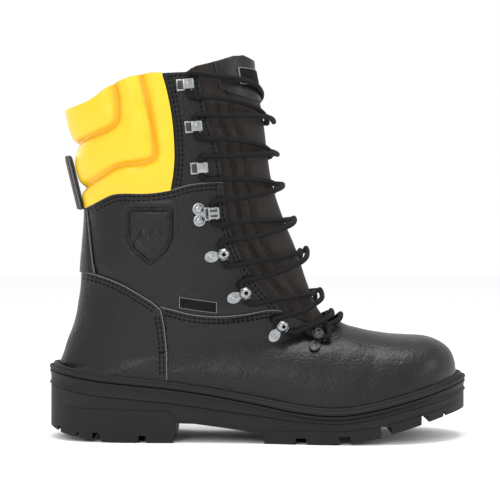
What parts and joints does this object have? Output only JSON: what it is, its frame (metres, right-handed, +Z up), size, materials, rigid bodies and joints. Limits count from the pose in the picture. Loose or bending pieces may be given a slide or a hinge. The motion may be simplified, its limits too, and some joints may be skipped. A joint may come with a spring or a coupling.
{
  "type": "laced safety mountain boot",
  "caption": "High lace-up leather safety boot with lugged sole, padded collar, lace hooks and ball eyelets, and a rear pull tab; right foot.",
  "frame": {"origin": "on the ground under the middle of the boot's outline", "axes": "+X towards the toe, +Z up, -Y the boot's outer side"},
  "size_m": [0.312, 0.1093, 0.284],
  "materials": {
    "outsole_rubber": "matte moulded rubber",
    "midsole_rubber": "matte moulded rubber",
    "welt_rubber": "satin rubber with stitch marks",
    "inner_steel": "lacquered steel",
    "board": "stiff non-woven board",
    "footbed_felt": "felt",
    "black_leather": "pebbled, semi-gloss",
    "padding": "soft foam",
    "cut_fibre": "layered fibre pad",
    "lining_textile": "mesh textile",
    "yellow_cover": "smooth coated synthetic leather",
    "grey_suede": "suede",
    "tongue_leather": "soft matte leather",
    "lace_cord": "tight round braid",
    "aglet_plastic": "clear-coated plastic",
    "label_fabric": "woven, plain",
    "nickel_fitting": "satin nickel"
  },
  "bodies": {
    "boot": {"outsole": "outsole_rubber", "midsole": "midsole_rubber", "welt": "welt_rubber", "anti_perforation_plate": "inner_steel", "insole_board": "board", "footbed": "footbed_felt", "vamp": "black_leather", "heel_cover": "black_leather", "quarter_lateral": "black_leather", "quarter_medial": "black_leather", "facing_lateral": "black_leather", "facing_medial": "black_leather", "shaft_padding_lateral": "padding", "shaft_padding_medial": "padding", "facing_reinforcement_lateral": "padding", "facing_reinforcement_medial": "padding", "toe_cap": "inner_steel", "cut_protection_vamp": "cut_fibre", "heel_stiffener": "board", "lining": "lining_textile", "collar_cover": "yellow_cover", "collar_foam": "padding", "backstay": "grey_suede", "tongue_cover": "tongue_leather", "tongue_cut_protection": "cut_fibre", "lace": "lace_cord", "aglet_1": "aglet_plastic", "aglet_2": "aglet_plastic", "tongue_label": "label_fabric", "side_tag": "label_fabric", "hook_1_lateral": "nickel_fitting", "hook_1_medial": "nickel_fitting", "hook_2_lateral": "nickel_fitting", "hook_2_medial": "nickel_fitting", "hook_3_lateral": "nickel_fitting", "hook_3_medial": "nickel_fitting", "lock_hook_lateral": "nickel_fitting", "lock_hook_medial": "nickel_fitting", "eyelet_4_lateral": "nickel_fitting", "eyelet_4_medial": "nickel_fitting", "eyelet_3_lateral": "nickel_fitting", "eyelet_3_medial": "nickel_fitting", "eyelet_2_lateral": "nickel_fitting", "eyelet_2_medial": "nickel_fitting", "eyelet_1_lateral": "nickel_fitting", "eyelet_1_medial": "nickel_fitting"},
    "pull_tab": {"pull_tab": "grey_suede"}
  },
  "joints": [
    {"name": "pull_tab_hinge", "type": "hinge", "parent": "boot", "child": "pull_tab", "pos_m": [-0.13105, 0, 0.16985], "axis": [0, -1, 0], "range_deg": [0, 60], "stiffness_Nm_per_rad": 0.05}
  ]
}
